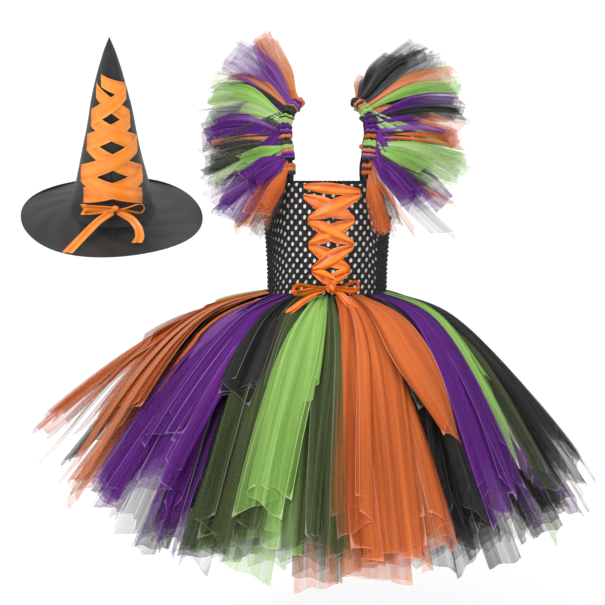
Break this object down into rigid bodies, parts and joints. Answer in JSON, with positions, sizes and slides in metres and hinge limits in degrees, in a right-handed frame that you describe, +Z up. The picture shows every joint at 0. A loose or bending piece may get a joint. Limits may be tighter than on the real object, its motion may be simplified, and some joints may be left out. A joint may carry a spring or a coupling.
{
  "type": "witch costume",
  "caption": "Child's sleeveless dress of gathered tulle strips on a laced crochet tube with ruffled shoulder straps, and a pointed hat with laced ribbon.",
  "frame": {"origin": "midway between the tops of the two shoulder straps, where the wearer's shoulders carry the dress", "axes": "+Z up, -Y towards the dress's front, +X towards the right of a viewer who faces the front"},
  "size_m": [0.9946, 1.0538, 0.772],
  "materials": {
    "orange_tulle": "sheer net, matt",
    "purple_tulle": "sheer net, matt",
    "green_tulle": "sheer net, matt",
    "olive_tulle": "sheer black net over green",
    "black_tulle": "sheer net, matt",
    "lilac_tulle": "sheer net, matt",
    "crochet": "stretch crochet with open holes",
    "lining": "plain matt jersey",
    "satin_ribbon": "glossy satin",
    "hat_cloth": "black satin"
  },
  "bodies": {
    "root": {"bow_knot": "satin_ribbon", "bow_loop_left": "satin_ribbon", "bow_loop_right": "satin_ribbon", "bow_tail_left": "satin_ribbon", "bow_tail_right": "satin_ribbon", "crochet_tube": "crochet", "hat_bow_knot": "satin_ribbon", "hat_bow_loop_left": "satin_ribbon", "hat_bow_loop_right": "satin_ribbon", "hat_bow_tail_left": "satin_ribbon", "hat_bow_tail_right": "satin_ribbon", "hat_brim": "hat_cloth", "hat_crown": "hat_cloth", "hat_lace_over": "satin_ribbon", "hat_lace_under": "satin_ribbon", "lace_over": "satin_ribbon", "lace_under": "satin_ribbon", "lining": "lining", "ruffle_left_a_orange": "orange_tulle", "ruffle_left_b_purple": "purple_tulle", "ruffle_left_c_olive": "olive_tulle", "ruffle_left_d_purple": "purple_tulle", "ruffle_left_e_green": "green_tulle", "ruffle_left_f_lilac": "lilac_tulle", "ruffle_left_g_orange": "orange_tulle", "ruffle_left_h_purple": "purple_tulle", "ruffle_right_a_orange": "orange_tulle", "ruffle_right_b_purple": "purple_tulle", "ruffle_right_c_green": "green_tulle", "ruffle_right_d_orange": "orange_tulle", "ruffle_right_e_black": "black_tulle", "ruffle_right_f_green": "green_tulle", "ruffle_right_g_black": "black_tulle", "ruffle_right_h_orange": "orange_tulle", "skirt_00_olive": "olive_tulle", "skirt_01_orange": "orange_tulle", "skirt_02_black": "black_tulle", "skirt_03_purple": "purple_tulle", "skirt_04_green": "green_tulle", "skirt_05_black": "black_tulle", "skirt_06_orange": "orange_tulle", "skirt_07_purple": "purple_tulle", "skirt_08_black": "black_tulle", "skirt_09_green": "green_tulle", "skirt_10_black": "black_tulle", "skirt_11_orange": "orange_tulle", "skirt_12_black": "black_tulle", "skirt_13_purple": "purple_tulle", "skirt_14_green": "green_tulle", "skirt_15_black": "black_tulle", "skirt_16_black": "black_tulle", "skirt_17_orange": "orange_tulle", "skirt_18_orange": "orange_tulle", "skirt_19_purple": "purple_tulle", "skirt_20_black": "black_tulle", "skirt_21_green": "green_tulle", "strap_left": "black_tulle", "strap_right": "black_tulle", "underskirt": "black_tulle"}
  },
  "joints": []
}
